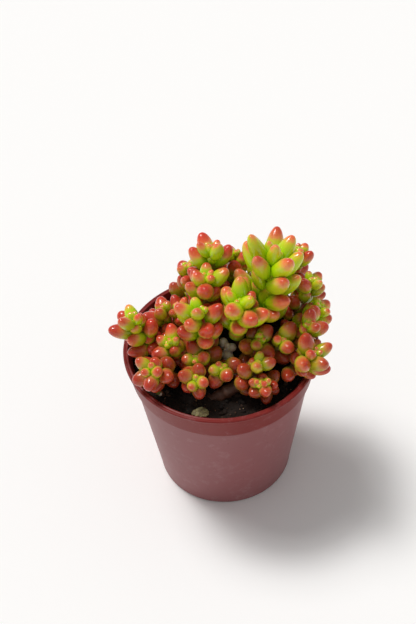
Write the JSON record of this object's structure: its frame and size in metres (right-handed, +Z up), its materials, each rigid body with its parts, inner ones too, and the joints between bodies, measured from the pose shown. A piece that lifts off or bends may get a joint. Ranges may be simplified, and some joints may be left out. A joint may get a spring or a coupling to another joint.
{
  "type": "potted jelly bean plant",
  "caption": "Jelly bean stonecrop with bean-shaped leaves on short leafy stems, rooted in dark soil in a round plastic nursery pot.",
  "frame": {"origin": "centre of the pot's foot ring, on the plane it stands on, under the middle of the whole plant", "axes": "+Z up along the pot's axis, -Y towards the front of the plant, where the soil shows between the leaves and the rim; +X to the right seen from the front"},
  "size_m": [0.067, 0.0601, 0.0925],
  "materials": {
    "pot_plastic": "satin",
    "soil": "matte",
    "leaf_green": "satin",
    "leaf_bronze": "satin",
    "leaf_pale": "satin",
    "dry_leaf": "matte"
  },
  "bodies": {
    "root": {"pot": "pot_plastic", "soil": "soil", "dry_leaf": "dry_leaf", "leafy_stem_crown": "leaf_green", "leafy_stem_crown_front": "leaf_green", "leafy_stem_upper_left": "leaf_green", "leafy_stem_middle_back": "leaf_green", "leafy_stem_middle": "leaf_green", "leafy_stem_far_left": "leaf_green", "leafy_stem_left_back": "leaf_bronze", "leafy_stem_left_front": "leaf_green", "leafy_stem_left_inner": "leaf_bronze", "leafy_stem_rim_left": "leaf_bronze", "leafy_stem_front_left": "leaf_bronze", "leafy_stem_middle_low": "leaf_bronze", "leafy_stem_front_middle": "leaf_bronze", "leafy_stem_front_inner": "leaf_bronze", "leafy_stem_front_right": "leaf_bronze", "leafy_stem_soil_front": "leaf_bronze", "leafy_stem_right_front": "leaf_bronze", "leafy_stem_rim_right": "leaf_bronze", "leafy_stem_right_middle": "leaf_bronze", "leafy_stem_right_back": "leaf_green", "leafy_stem_right_upper": "leaf_bronze", "leafy_stem_top_right": "leaf_bronze", "leafy_stem_top_middle": "leaf_bronze", "leafy_stem_top_left": "leaf_bronze", "leafy_stem_back_middle": "leaf_green", "leafy_stem_back_left": "leaf_bronze", "leafy_stem_back_right": "leaf_bronze", "leafy_stem_rim_back": "leaf_bronze", "leafy_stem_rim_back_left": "leaf_bronze", "leafy_stem_pale": "leaf_pale", "leafy_stem_tiny": "leaf_pale"}
  },
  "joints": []
}
